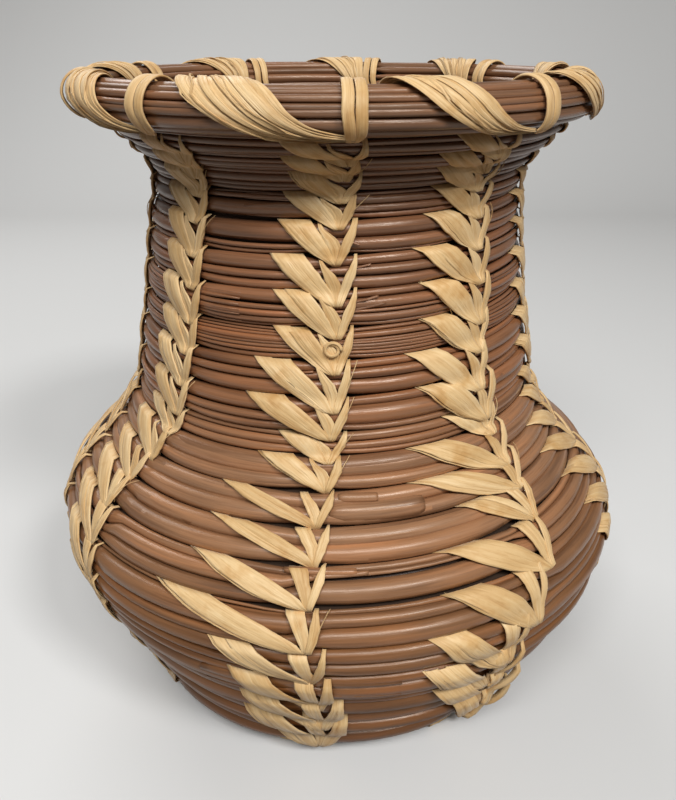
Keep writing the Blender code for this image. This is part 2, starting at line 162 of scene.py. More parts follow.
def raffia_material():
    """Dry palm raffia: straw yellow, with long fibres, browner streaks, stained places and a satin face."""
    material, shader, add = new_nodes("raffia_straw")
    streaks = strip_noise(add, along=0.05, across=5.0, scale=1.6, detail=5.0, roughness=0.62)
    fibres = strip_noise(add, along=0.12, across=22.0, scale=1.0, detail=3.0, roughness=0.6)
    _, strip_number = strip_place(add)
    strip_tone = add("ShaderNodeTexWhiteNoise", [("W", strip_number)], noise_dimensions="1D")
    place = add("ShaderNodeTexCoord")
    blotches = add("ShaderNodeTexNoise", [("Vector", place.outputs["Object"])], Scale=160.0, Detail=3.0,
                   Roughness=0.6)
    straw = ramp(add, streaks, (
        (0.26, (0.58, 0.360, 0.155)), (0.40, (0.70, 0.470, 0.224)), (0.55, (0.76, 0.538, 0.276)),
        (0.75, (0.83, 0.622, 0.352))))
    tone = ramp(add, strip_tone.outputs["Value"], (
        (0.0, (0.86, 0.80, 0.70)), (0.5, (1.0, 0.98, 0.94)), (1.0, 1.0)))
    stain = ramp(add, blotches.outputs["Fac"], ((0.28, (0.80, 0.66, 0.46)), (0.50, 1.0)))
    hair_lines = ramp(add, fibres, ((0.30, (0.72, 0.60, 0.45)), (0.44, 1.0)))
    colour = tint(add, straw, tone, 1.0)
    colour = tint(add, colour, stain, 0.75)
    colour = tint(add, colour, hair_lines, 0.4)
    ridges = add("ShaderNodeMath", [(0, fibres), (1, streaks)], operation="ADD")
    bump = add("ShaderNodeBump", [("Height", ridges.outputs["Value"])], Strength=0.55, Distance=0.00022)
    satin = ramp(add, streaks, ((0.3, 0.66), (0.7, 0.44)))
    connect(shader, (("Base Color", colour), ("Normal", bump.outputs["Normal"]), ("Roughness", satin),
                     ("Sheen Weight", 0.12), ("Sheen Roughness", 0.4)))
    return material


def new_object(name, data):
    """An object added to the scene."""
    thing = bpy.data.objects.new(name, data)
    bpy.context.scene.collection.objects.link(thing)
    return thing


def running_length(points):
    """Length along a tube at each of its rings."""
    steps = np.linalg.norm(np.diff(points.mean(axis=1), axis=0), axis=1)
    return np.concatenate([[0], np.cumsum(steps)])


def quad_loops(rings, around, first, flip):
    """Corner numbers of the faces between neighbouring rings, and their ring and place in the ring."""
    ring, side = np.meshgrid(np.arange(rings - 1), np.arange(around), indexing="ij")
    ring, side = ring.ravel(), side.ravel()
    following = side + 1
    corners = [(ring, side), (ring, following), (ring + 1, following), (ring + 1, side)]
    if flip:
        corners.reverse()
    numbers = np.stack([first + r * around + s % around for r, s in corners], axis=1)
    rows = np.stack([r for r, _ in corners], axis=1)
    places = np.stack([s for _, s in corners], axis=1)
    return numbers, rows, places


def signed_volume(points):
    """Six times the volume inside a tube of rings, which is negative if its faces look inward."""
    a, b = points[:-1], points[1:]
    a_next, b_next = np.roll(a, -1, axis=1), np.roll(b, -1, axis=1)
    volume = np.sum(a * np.cross(a_next, b_next)) + np.sum(a * np.cross(b_next, b))
    for ring, sign in ((points[0], -1), (points[-1], 1)):
        middle = ring.mean(axis=0)
        volume += sign * np.sum(middle * np.cross(ring, np.roll(ring, -1, axis=0)))
    return volume


def join_tubes(name, tubes, material, node):
    """One piece made of closed tubes, each given by its rings of points."""
    verts, loops, starts, totals, lay = [], [], [], [], []
    first = corner = 0
    for number, points in enumerate(tubes):
        lengths = running_length(points) / MM
        rings, around = points.shape[:2]
        flip = signed_volume(points) < 0
        numbers, rows, places = quad_loops(rings, around, first, flip)
        loops.append(numbers.ravel())
        starts.append(corner + np.arange(len(numbers)) * 4)
        totals.append(np.full(len(numbers), 4))
        lay.append(np.stack([lengths[rows.ravel()], number + places.ravel() / around * LAST_PLACE], axis=1))
        corner += numbers.size
        for ring, turned in ((0, not flip), (rings - 1, flip)):
            cap = first + ring * around + np.arange(around)
            loops.append(cap[::-1] if turned else cap)
            starts.append(np.array([corner]))
            totals.append(np.array([around]))
            lay.append(np.stack([np.full(around, lengths[ring]), np.full(around, number + 0.5)], axis=1))
            corner += around
        verts.append(points.reshape(-1, 3))
        first += rings * around
    verts, loops, starts, totals, lay = map(np.concatenate, (verts, loops, starts, totals, lay))
    mesh = bpy.data.meshes.new(name)
    mesh.vertices.add(len(verts))
    mesh.vertices.foreach_set("co", verts.ravel())
    mesh.loops.add(len(loops))
    mesh.loops.foreach_set("vertex_index", loops.astype(np.int32))
    mesh.polygons.add(len(starts))
    mesh.polygons.foreach_set("loop_start", starts.astype(np.int32))
    mesh.polygons.foreach_set("loop_total", totals.astype(np.int32))
    uv = mesh.uv_layers.new(name="lay")
    mesh.update(calc_edges=True)
    uv.data.foreach_set("uv", lay.astype(np.float32).ravel())
    mesh.validate()
    mesh.shade_smooth()
    mesh.materials.append(material)
    piece = new_object(name, mesh)
    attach(piece, "root")
    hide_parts(node)


def knot_tubes():
    """The wound ring: flat windings that go over it and through its middle, and the core ring in them."""
    tubes = []
    loop = np.linspace(0, TURN * WINDING_CLOSED, WINDING_STEPS)[:, None]
    side, lift = np.array(WINDING_SECTION).T
    reach = KNOT_TUBE + lift * MM
    for winding in range(WINDINGS):
        radius = np.maximum(KNOT_RING + reach * np.cos(loop), KNOT_HOLE)
        swing = (winding + side * WINDING_SPREAD) * TURN / WINDINGS + WINDING_SLANT * np.sin(loop)
        tubes.append(stand(radius, np.degrees(swing), KNOT_HEIGHT + reach * np.sin(loop)))
    place, turn = round_angles(KNOT_STEPS)[:, None], round_angles(TUBE_SIDES)
    tubes.append(stand(KNOT_RING + KNOT_CORE * np.cos(turn), np.degrees(place),
                       KNOT_HEIGHT + KNOT_CORE * np.sin(turn)))
    return tubes


raffia = raffia_material()
join_tubes("knot_windings", knot_tubes(), raffia, "start_knot")


# The coil. One bundle of dried brown stems winds round the knot, out over the base and up the wall. A row
# shows two to four stems, or a band of fine needles in the neck, and the raffia draws the bundle in.

# Radius and height of the middle of the wall, from the knot to the roll
WALL_LINE = (
    (4.7, 6.4), (19.0, 5.8), (27.5, 3.9), (33.0, 2.5), (39.5, 2.5), (44.0, 6.3), (48.0, 13.8), (53.8, 26.0),
    (63.8, 46.0), (60.8, 56.0), (51.0, 66.7), (44.4, 77.5), (40.7, 95.0), (37.9, 115.0), (37.6, 127.0),
    (42.3, 133.8), (49.7, 141.0),
)
# Steps of the curve between two of these points, steps of the whole wall, and steps to each side of a slope
SPAN_STEPS = 24
WALL_STEPS = 800
SLOPE_REACH = 6
FOOT_RADIUS = 39.5 * MM
BASE_LAPS = 6
# Heights of the grooves between the rows of the wall, at the front, this far out from its middle
GROOVE_OUT = 1.7 * MM
GROOVE_HEIGHTS = (
    4.0, 12.6, 22.2, 31.8, 40.9, 48.5, 55.9, 62.0, 67.2, 72.6, 78.6, 82.8, 89.7, 96.7, 102.6, 109.5, 115.8,
    121.9, 126.6, 130.4, 133.4,
)
# How far below the roll's middle the last row ends
ROLL_SEAT = 4.25 * MM
# The azimuth where each lap begins, and the one at which the grooves' heights are given
FIRST_AZIMUTH = -61
FRONT_AZIMUTH = -3
# The nine lines of stitches: height and azimuth of points on each, from the foot up
LINE_AZIMUTHS = (
    ((0, -57), (30, -55), (45, -52.3), (54, -51.8), (62, -53.5), (66, -53), (72, -50), (78, -46), (86, -44),
     (94, -43), (104, -41.6), (122, -41.3), (128, -40.3), (141, -36)),
    ((0, -4), (17, -3.8), (28, -3.5), (40, -4.2), (48, -5.2), (61, -4.5), (66, -3.2), (72, -3.8), (76, -0.8),
     (81, -1.4), (94, 0), (106, 0.5), (114, 0.5), (120, -0.3), (124, 0), (132, 0.7), (141, 3.4)),
    ((0, 41), (12, 40), (23, 37), (32, 34), (41, 30.5), (46, 32), (53, 37), (61, 43), (69, 44.5), (76, 43.5),
     (86, 42), (94, 39.5), (98, 40.5), (107, 42), (113, 42), (128, 41), (132, 38.5), (141, 40)),
    ((0, 80), (60, 80), (100, 79), (141, 81)),
    ((0, 126), (60, 125), (100, 127), (141, 127)),
    ((0, 165), (60, 166), (100, 164), (141, 166)),
    ((0, 201), (60, 203), (100, 201), (141, 202)),
    ((0, 240), (60, 238), (100, 241), (141, 241)),
    ((0, 281), (60, 281), (100, 280), (141, 283)),
)
# Half the bundle's thickness by the height of its row, and how far its face falls back at the grooves
BUNDLE_DEPTH = 0.43
FACE_FALL = 0.84
# The raffia squeezes the bundle a little to the left of each line, and less further away
DRAW_IN_ASIDE = 3
DRAW_IN_REACH = 6.0 * MM
DRAWN_WIDTH = 0.15
DRAWN_DEPTH = 0.10
# The stems fill the row and press into each other a little, and none is thicker than a share of the bundle
ROW_FILL = 0.99
STEM_PRESS = 1.01
THICKEST_STEM = 0.68
# Where the stems change: first lap, last lap, stems across the outside, and how unlike their thickness is
BASE_RUNS = ((0.15, 6.4, 3, 0.35),)
BELLY_RUNS = ((6.3, 9.2, 3, 0.28), (9.1, 10.9, 3, 0.35), (10.8, 12.9, 3, 0.50))
SPLICE_RUN = (12.8, 15.4, 2, 0.35)
NECK_RUNS = (
    (15.3, 18.9, 3, 0.60), (18.8, 20.1, 8, 0.40), (20.0, 20.6, 5, 0.60), (20.5, 23.2, 3, 0.70),
    (23.1, 27.25, 4, 0.55),
)
INNER_STEMS = 3
INNER_UNLIKE = 0.3
INNER_SIDES = 8
STEPS_PER_LAP = 96
CORE_STEPS_PER_LAP = 60
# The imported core's half height in the row, by lap, and its thickness in the bundle
CORE_BREADTH = ((25.8, 0.53), (26.4, 0.80))
CORE_DEPTH = 0.15
# Where in a gap between two lines the shares of the stems begin to change, and the least share of a stem
SHARE_CHANGE = 0.80
LEAST_SHARE = 0.09
END_TAPER_LAPS = 0.04
# Under the roll the last laps stand further out: how far, from which lap, and over how many laps
FLARE_OUT = 0.9 * MM
FLARE_LAP = 24.2
FLARE_LAPS = 1.5
# Broken and loose stems: lap, first and last azimuth, then in millimetres the height in the row at both
# ends, how far out they are at both ends, and the radius
BROKEN_BELLY_STEMS = (
    (14, -1, 19.5, -0.7, -1.0, 1.3, 1.6, 2.15), (14, 1, 9.5, 2.0, 1.6, 2.2, 2.6, 1.0),
    (12, -9, 4, 2.6, 2.2, 2.4, 2.9, 0.7), (12, -4, 6, 1.6, 1.9, 2.5, 3.0, 0.45),
)
BROKEN_NECK_STEMS = (
    (20, 2, 11, 0.6, 2.2, 2.6, 3.0, 0.28), (20, 2, 8, 1.0, 1.8, 2.6, 3.3, 0.22),
    (20, 1, 13, -0.6, 0.8, 2.5, 2.9, 0.25), (22, 2, 6, -0.5, -1.3, 2.6, 3.0, 0.25),
    (21, 3, 9, 0.5, 1.4, 2.4, 2.9, 0.22), (18, -14, -5, 0.8, 1.6, 2.6, 3.0, 0.25),
    (20, 40, 48, 0.6, 1.7, 2.5, 3.1, 0.22), (17, 41, 50, -0.6, 0.8, 2.6, 3.0, 0.25),
)
# Thickness of a broken stem, by the share of its length
BLUNT_ENDS = ((0, 0.7), (0.15, 1), (0.93, 1), (1, 0.82))
BROKEN_STEPS = 14
rng = np.random.default_rng(7)


def stem_material():
    """Dried brown stems: long darker and redder streaks, a paler belly, painted shade under the roll, a
    core painted near-black as shade in the gaps between stems, and a waxy gloss.
    """
    material, shader, add = new_nodes("brown_stems")
    streaks = strip_noise(add, along=0.010, across=2.6, scale=2.0, detail=4.0, roughness=0.55)
    grain = strip_noise(add, along=0.05, across=16.0, scale=1.4, detail=4.0, roughness=0.65)
    along, stem_number = strip_place(add)
    patch_along = add("ShaderNodeMath", [(0, along), (1, 0.018)], operation="MULTIPLY")
    patch_place = add("ShaderNodeCombineXYZ", [("X", patch_along.outputs["Value"]), ("Y", stem_number)])
    patches = add("ShaderNodeTexNoise", [("Vector", patch_place.outputs["Vector"])], noise_dimensions="2D",
                  Scale=1.0, Detail=2.0)
    place = add("ShaderNodeTexCoord")
    height = add("ShaderNodeSeparateXYZ", [("Vector", place.outputs["Object"])])
    level = add("ShaderNodeMapRange", [("Value", height.outputs["Z"]), ("From Min", 0.0),
                                       ("From Max", 0.145)])
    # By height: darker towards the foot and palest on the belly. The darker stop at 0.88, on the neck just
    # under the roll, is painted shade from the roll's overhang.
    body = ramp(add, level.outputs["Result"], (
        (0.0, (0.125, 0.047, 0.013)), (0.28, (0.172, 0.071, 0.023)), (0.48, (0.305, 0.158, 0.080)),
        (0.64, (0.238, 0.105, 0.047)), (0.80, (0.214, 0.099, 0.049)), (0.88, (0.158, 0.072, 0.035)),
        (1.0, (0.198, 0.098, 0.050))))
    patch_tone = ramp(add, patches.outputs["Fac"], (
        (0.25, (0.66, 0.62, 0.60)), (0.45, 0.95), (0.60, (1.12, 1.06, 1.0)), (0.80, (1.34, 1.15, 1.0))))
    streak_tone = ramp(add, streaks, ((0.30, (0.62, 0.58, 0.55)), (0.48, 1.0), (0.70, (1.32, 1.26, 1.22))))
    grain_tone = ramp(add, grain, ((0.32, (0.70, 0.66, 0.63)), (0.50, 1.0), (0.75, (1.15, 1.12, 1.1))))
    colour = tint(add, body, patch_tone, 1.0)
    colour = tint(add, colour, streak_tone, 0.85)
    colour = tint(add, colour, grain_tone, 0.6)
    # The first tube of each piece, the bundle's core, is painted near-black and fully rough: painted shade
    # where it shows in the gaps between the stems.
    painted_shade_core = add("ShaderNodeMath", [(0, stem_number), (1, 0.5)], operation="LESS_THAN")
    shaded = add("ShaderNodeMix", [("Factor", painted_shade_core.outputs["Value"]), ("A", colour),
                                   ("B", (0.030, 0.016, 0.010, 1))], data_type="RGBA")
    bump = add("ShaderNodeBump", [("Height", grain)], Strength=0.35, Distance=0.00018)
    gloss = ramp(add, streaks, ((0.3, 0.46), (0.7, 0.25)))
    dull = ramp(add, level.outputs["Result"], ((0.45, 0.70), (0.60, 0.50)))
    satin = add("ShaderNodeMath", [(0, gloss), (1, dull), (2, 0.12)], operation="MULTIPLY_ADD")
    rough = add("ShaderNodeMath", [(0, satin.outputs["Value"]), (1, painted_shade_core.outputs["Value"])],
                operation="MAXIMUM")
    connect(shader, (("Base Color", shaded.outputs["Result"]), ("Normal", bump.outputs["Normal"]),
                     ("Roughness", rough.outputs["Value"]), ("Specular Tint", (1.0, 0.86, 0.72, 1)),
                     ("Coat Weight", 0.12), ("Coat Roughness", 0.2)))
    return material


def wall_curve():
    """The middle of the wall as a smooth curve: its lengths, radii, heights and slopes."""
    knots = [Vector((radius, height, 0)) * MM for radius, height in WALL_LINE]
    curve = []
    for i in range(len(knots) - 1):
        before = knots[max(i - 1, 0)]
        after = knots[min(i + 2, len(knots) - 1)]
        reach = (knots[i + 1] - knots[i]).length / 3
        leave = knots[i] + (knots[i + 1] - before).normalized() * reach
        arrive = knots[i + 1] - (after - knots[i]).normalized() * reach
        curve += interpolate_bezier(knots[i], leave, arrive, knots[i + 1], SPAN_STEPS)[:-1]
    curve.append(knots[-1])
    radius, height = np.array([(point.x, point.y) for point in curve]).T
    length = np.concatenate([[0], np.cumsum(np.hypot(np.diff(radius), np.diff(height)))])
    even = np.linspace(0, length[-1], WALL_STEPS)
    radius, height = np.interp(even, length, radius), np.interp(even, length, height)

    def change(line):
        padded = np.pad(line, SLOPE_REACH, mode="reflect", reflect_type="odd")
        return padded[2 * SLOPE_REACH:] - padded[:-2 * SLOPE_REACH]

    return even, radius, height, np.arctan2(change(height), change(radius))


wall_length, wall_radius, wall_height, wall_slope = wall_curve()


def radius_at(length):
    """Radius of the wall at a length up it."""
    return np.interp(length, wall_length, wall_radius)


def height_at(length):
    """Height of the wall at a length up it."""
    return np.interp(length, wall_length, wall_height)


def on_wall(azimuth, length, outward):
    """Points of the wall at azimuths in degrees, lengths up the wall, and distances out from its middle."""
    slope = np.interp(length, wall_length, wall_slope)
    radius = radius_at(length) + outward * np.sin(slope)
    return stand(radius, azimuth, height_at(length) - outward * np.cos(slope))


def lap_table():
    """Laps of the spiral and the lengths up the wall where they begin."""
    foot = int(np.argmax(wall_radius > FOOT_RADIUS))
    outside = wall_height - GROOVE_OUT * np.cos(wall_slope)
    grooves = np.interp(np.array(GROOVE_HEIGHTS) * MM, outside[foot:], wall_length[foot:])
    low_edge = (FRONT_AZIMUTH - FIRST_AZIMUTH) / 360 - 0.5
    count = BASE_LAPS + len(GROOVE_HEIGHTS)
    laps = np.concatenate([[0], BASE_LAPS + low_edge + np.arange(len(grooves)), [count]])
    return laps, np.concatenate([[0], grooves, [wall_length[-1] - ROLL_SEAT]])


lap_numbers, lap_lengths = lap_table()


def row_span(lap):
    """Lower and upper edge of the bundle at a lap."""
    low = np.interp(np.maximum(lap - 0.5, 0), lap_numbers, lap_lengths)
    high = np.interp(np.minimum(lap + 0.5, lap_numbers[-1]), lap_numbers, lap_lengths)
    return low, high


def line_azimuth(line, height):
    """Azimuth of a stitch line at a height."""
    return look_up(LINE_AZIMUTHS[line], height / MM)


def waves(lap, laps_per_wave, strength):
    """A slow random wave along the spiral."""
    total = np.zeros_like(lap)
    for length, share in ((1.0, 0.55), (0.43, 0.3), (0.19, 0.15)):
        total += share * np.sin(TURN * lap / (length * laps_per_wave) + rng.uniform(0, TURN))
    return total * strength


def stem_shares(lap, count, unlike):
    """How the row is shared out among its stems. The shares change under the raffia, from gap to gap."""
    azimuth = FIRST_AZIMUTH + 360 * lap
    lines = np.array([points[len(points) // 2][1] for points in LINE_AZIMUTHS], dtype=float)
    crossings = np.sort(np.concatenate([lines + 360 * turn for turn in range(-1, int(lap[-1]) + 2)]))
    gap = np.searchsorted(crossings, azimuth)
    low, high = (crossings[np.clip(number, 0, len(crossings) - 1)] for number in (gap - 1, gap))
    place = np.clip((azimuth - low) / np.maximum(high - low, 1), 0, 1)
    table = np.exp(unlike * rng.normal(0, 1, (count, len(crossings) + 2)))
    blend = np.clip((place - SHARE_CHANGE) / (1 - SHARE_CHANGE), 0, 1)
    blend = blend ** 2 * (3 - 2 * blend)
    shares = table[:, gap] * (1 - blend) + table[:, gap + 1] * blend
    shares = np.maximum(shares / shares.sum(axis=0), LEAST_SHARE)
    return shares / shares.sum(axis=0)


def draw_in(lap):
    """How far the raffia squeezes the bundle: 1 at a stitch line and 0 between lines."""
    azimuth = FIRST_AZIMUTH + 360 * lap
    low, high = row_span(lap)
    middle = (low + high) / 2
    squeeze = np.zeros_like(lap)
    for line in range(len(LINE_AZIMUTHS)):
        away = (azimuth - line_azimuth(line, height_at(middle)) + 180) % 360 - 180
        reach = np.radians(away + DRAW_IN_ASIDE) * radius_at(middle) / DRAW_IN_REACH
        squeeze = np.maximum(squeeze, np.exp(-reach ** 2))
    return squeeze


def row_swell(across):
    """How far out the bundle stands across its row, where across runs from -1 to 1: 1 in the middle."""
    return np.sqrt(np.clip(1 - FACE_FALL * across ** 2, 0.05, 1))


def bundle_depth(row):
    """Half the thickness of the wall, for a row of this height."""
    return BUNDLE_DEPTH * row


def flare(lap):
    """How much further out the outside of the last laps stands, under the roll."""
    return FLARE_OUT * np.clip((lap - FLARE_LAP) / FLARE_LAPS, 0, 1)


def stem(lap, along, out, radius, sides):
    """One round stem that follows the spiral at an offset from the middle of the bundle."""
    low, high = row_span(lap)
    turn = round_angles(sides)
    lengths = ((low + high) / 2 + along)[:, None] + radius[:, None] * np.sin(turn)
    outs = out[:, None] + radius[:, None] * np.cos(turn)
    return on_wall((FIRST_AZIMUTH + 360 * lap)[:, None], lengths, outs)


def outer_stems(start, stop, count, unlike, side):
    """Stems side by side across the outer (1) or inner (-1) face of the bundle, thinner at their ends."""
    lap = np.linspace(start, stop, max(int((stop - start) * STEPS_PER_LAP), 8))
    low, high = row_span(lap)
    row = np.maximum(high - low, 0.8 * MM)
    squeeze = draw_in(lap)
    width = row * (ROW_FILL - DRAWN_WIDTH * squeeze)
    depth = bundle_depth(row) * (1 - DRAWN_DEPTH * squeeze)
    if side > 0:
        depth += flare(lap)
    shares = stem_shares(lap, count, unlike)
    edges = np.concatenate([np.zeros((1, len(lap))), np.cumsum(shares, axis=0)])
    taper = np.clip(np.minimum(lap - start, stop - lap) / END_TAPER_LAPS, 0.08, 1) ** 0.5
    tubes = []
    for i in range(count):
        across = edges[i] + edges[i + 1] - 1
        radius = np.minimum(shares[i] * width / 2 * STEM_PRESS * taper, depth * THICKEST_STEM)
        along = across * width / 2 + waves(lap, 0.9, 0.10 * MM)
        out = depth * row_swell(across) - radius + waves(lap, 0.4, 0.16 * MM)
        tubes.append(stem(lap, along, side * out, radius, TUBE_SIDES if side > 0 else INNER_SIDES))
    return tubes


def bundle_core(start, stop):
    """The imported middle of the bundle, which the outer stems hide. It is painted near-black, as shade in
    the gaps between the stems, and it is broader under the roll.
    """
    lap = np.linspace(start, stop, max(int((stop - start) * CORE_STEPS_PER_LAP), 8))
    low, high = row_span(lap)
    row = np.maximum(high - low, 0.6 * MM)
    turn = round_angles(TUBE_SIDES)
    half = row * look_up(CORE_BREADTH, lap)
    lengths = ((low + high) / 2)[:, None] + half[:, None] * np.sin(turn)
    outs = (bundle_depth(row) * CORE_DEPTH)[:, None] * np.cos(turn)
    return on_wall((FIRST_AZIMUTH + 360 * lap)[:, None], lengths, outs)


def coil_tubes(first_lap, last_lap, runs):
    """All the stems of one stretch of the coil."""
    # The core comes first, so the stem material paints it near-black as shade in the gaps between the stems.
    tubes = [bundle_core(first_lap, last_lap)]
    for start, stop, count, unlike in runs:
        tubes += outer_stems(start, stop, count, unlike, 1)
        tubes += outer_stems(start, stop, INNER_STEMS, INNER_UNLIKE, -1)
    return tubes


def broken_tubes(table):
    """Stems that have snapped or come loose, with blunt ends."""
    share = np.linspace(0, 1, BROKEN_STEPS)
    blunt = look_up(BLUNT_ENDS, share)
    tubes = []
    for whole, first, last, low_end, high_end, out, out_end, radius in table:
        lap = whole + (np.linspace(first, last, BROKEN_STEPS) - FIRST_AZIMUTH) / 360
        along = (low_end + (high_end - low_end) * share) * MM
        outward = (out + (out_end - out) * share ** 2) * MM
        tubes.append(stem(lap, along, outward, radius * MM * blunt, TUBE_SIDES))
    return tubes


# Where the bundle is spliced, the stems of the belly and of the neck share the rows for two laps and a half
stems = stem_material()
join_tubes("base_stems", coil_tubes(0.05, 6.3, BASE_RUNS), stems, "base_coil")
belly_tubes = coil_tubes(6.3, 14.4, BELLY_RUNS + (SPLICE_RUN,)) + broken_tubes(BROKEN_BELLY_STEMS)
join_tubes("belly_stems", belly_tubes, stems, "belly_coil")
neck_tubes = coil_tubes(14.4, 27.25, (SPLICE_RUN,) + NECK_RUNS) + broken_tubes(BROKEN_NECK_STEMS)
join_tubes("neck_stems", neck_tubes, stems, "neck_coil")


# The rim roll. The last and thickest round of the coil is a roll of twelve stems of unlike thickness, which
# lies level on top of the flared wall. It is lashed down by the raffia bands and wraps.

ROLL_RADIUS = 49.7 * MM
ROLL_HEIGHT = 141.0 * MM
ROLL_HALF = 4.0 * MM
ROLL_CORE = 2.3 * MM
ROLL_STEPS = 150
# The azimuth where the roll's ends meet, how many degrees and laps it runs, and the laps of its tapered ends
ROLL_JOINT = 168
ROLL_RUN = 362
ROLL_END = 1.0055
ROLL_TAPER = 0.02
# The stems round the roll, from its foot outside over the top: angle at the front, and radius
ROLL_STEMS = (
    (-40, 1.22), (-4, 0.68), (15, 0.55), (35, 0.75), (58, 0.65), (92, 1.15), (132, 0.90), (160, 0.75),
    (192, 1.05), (222, 0.70), (250, 0.95), (282, 0.75),
)
# Degrees that the roll is twisted in one round, and from its joint to the front
ROUND_TWIST = 24
FRONT_TWIST = 12.8


def on_roll(azimuth, angle, distance):
    """Points round the roll: angle 0 faces outward and 90 is its top, and distance is from its middle."""
    lift = np.radians(angle)
    return stand(ROLL_RADIUS + distance * np.cos(lift), azimuth, ROLL_HEIGHT + distance * np.sin(lift))


def roll_tubes():
    """The twisted stems of the roll, round a core that they hide, painted near-black as shade."""
    azimuth = np.linspace(ROLL_JOINT, ROLL_JOINT + ROLL_RUN, ROLL_STEPS)
    lap = (azimuth - ROLL_JOINT) / 360
    taper = np.clip(np.minimum(lap, ROLL_END - lap) / ROLL_TAPER, 0.25, 1)
    turn = round_angles(TUBE_SIDES)
    tubes = [on_roll(azimuth[:, None], np.degrees(turn), ROLL_CORE)]
    for place, size in ROLL_STEMS:
        radius = ((size * MM + waves(lap, 0.9, 0.10 * size * MM)) * taper)[:, None]
        angle = np.radians(place + ROUND_TWIST * lap - FRONT_TWIST + waves(lap, 0.8, 3.5))[:, None]
        middle = ROLL_HALF - radius - 0.1 * MM + waves(lap, 0.5, 0.1 * MM)[:, None]
        along = middle * np.cos(angle) + radius * np.cos(turn)
        up = middle * np.sin(angle) + radius * np.sin(turn)
        tubes.append(on_roll(azimuth[:, None], np.degrees(np.arctan2(up, along)), np.hypot(along, up)))
    return tubes


join_tubes("rim_stems", roll_tubes(), stems, "rim_coil")


# The wheat stitch. At each of the nine lines a raffia strip is split by the needle and pulled through the
# row below, so that every row carries a fan of three legs: a long wide left one, a short middle one and a
# narrow right one. They come out of one small hole and tuck into the groove above.

LEFT_LINE, FRONT_LINE, RIGHT_LINE = 0, 1, 2
RAFFIA_THICKNESS = 0.26 * MM
FIRST_STITCHED_LAP = 1.9
LEAST_ROW = 2.6 * MM
# The first row up the wall is crossed by the long legs of the row above it
BARE_LAPS = (6, 7)
# How far below its groove each hole is, by the height of the groove
USUAL_DROP = (
    (4, 1.4), (12.6, 8.0), (22.2, 5.2), (31.8, 4.0), (40.9, 2.2), (50, 1.8), (66, 1.9), (80, 2.4),
    (141, 2.5),
)
FRONT_LINE_DROP = (
    (12.6, 8.3), (22.2, 5.2), (31.8, 4.3), (40.9, 1.4), (48.5, 0.5), (55.9, 0.6), (62, 0.8), (72.6, 0.8),
    (78.6, 2.2), (82.8, 1.8), (89.7, 3.5), (96.7, 3.2), (102.6, 2.3), (109.5, 3.1), (115.8, 2.0),
    (126.6, 2.3), (133.4, 1.5),
)
RIGHT_LINE_DROP = (
    (12.6, 8.0), (22.2, 6.5), (31.8, 6.0), (40.9, 4.6), (48.5, 3.8), (55.9, 3.3), (62, 1.8), (67.2, 2.8),
    (72.6, 3.8), (78.6, 2.7), (82.8, 4.1), (89.7, 4.0), (96.7, 3.4), (102.6, 4.6), (109.5, 3.0),
    (126.6, 2.6), (133.4, 2.1),
)
LINE_DROPS = (USUAL_DROP, FRONT_LINE_DROP, RIGHT_LINE_DROP) + (USUAL_DROP,) * 6
# How far the left leg reaches to the left, by the height of the groove it tucks into
USUAL_REACH = (
    (8, 10), (20, 13), (40, 15), (50, 17), (60, 19), (70, 15), (78, 11.5), (90, 10.5), (141, 10),
)
LEFT_LINE_REACH = ((8, 10), (40, 14), (50, 16), (60, 18), (70, 15), (78, 11), (90, 9.6), (141, 9.4))
FRONT_LINE_REACH = (
    (8, 11), (12.6, 13), (22.2, 15.5), (31.8, 15), (40.9, 15), (48.5, 17.5), (55.9, 28.5), (62, 22),
    (67.2, 19), (72.6, 19), (78.6, 11), (82.8, 8.6), (89.7, 14.7), (96.7, 13.6), (102.6, 10.5),
    (109.5, 11.3), (115.8, 11), (121.9, 10), (126.6, 10), (130.4, 7.5), (133.4, 10), (137, 10.4),
)
RIGHT_LINE_REACH = (
    (8, 8), (22.2, 11), (31.8, 15), (40.9, 17), (48.5, 17), (55.9, 18.5), (62, 20.4), (67.2, 13), (72.6, 22),
    (78.6, 18.6), (82.8, 10.5), (89.7, 13.9), (96.7, 13.6), (102.6, 10.8), (109.5, 12.3), (115.8, 13.1),
    (121.9, 11.6), (126.6, 10.9), (130.4, 7.5), (133.4, 14), (137, 10.4),
)
LINE_REACHES = (LEFT_LINE_REACH, FRONT_LINE_REACH, RIGHT_LINE_REACH) + (USUAL_REACH,) * 6
# Two leaves of the front line are thin ones: share of the usual width by the same height
FRONT_LINE_WIDTH = ((50, 1), (55.9, 1.05), (62, 0.65), (67.2, 1.05), (72.6, 0.45), (78.6, 1), (141, 1))
# Low down the right leg is broader. On the right line it is twisted instead, and all the legs stand loose:
# millimetres, by the height of the groove below the row
BROAD_RIGHT_LEG = ((20, 1.8), (42, 0))
TWISTED_RIGHT_LEG = ((22, 1.3), (40, 0))
LOOSE_LEGS = ((0, 1.2), (14, 0.9), (34, 0))
LEG_STEPS = 13
LEG_PLACES = 10
LEG_FOLD = 0.08 * MM
EDGE_WANDER = 0.07
# The legs press into the face of the stems, and in the grooves they keep to a share of the bundle's depth
PRESSED_FACE = 0.94
LEG_FLOOR = 0.75
# A leg dives into its hole, climbs over the row below and tucks into its groove: share of its way, and depth
DIVE_SHARE, DIVE_DEPTH = 0.09, 1.3 * MM
LOWER_SHARE, LOWER_LIFT = 0.42, 0.42 * MM
TUCK_SHARE, TUCK_DEPTH = 0.07, 1.15 * MM
# Shares of the way up the left leg at which its edges are given
LEAF_SHARES = (0, 0.07, 0.28, 0.62, 0.9, 1)
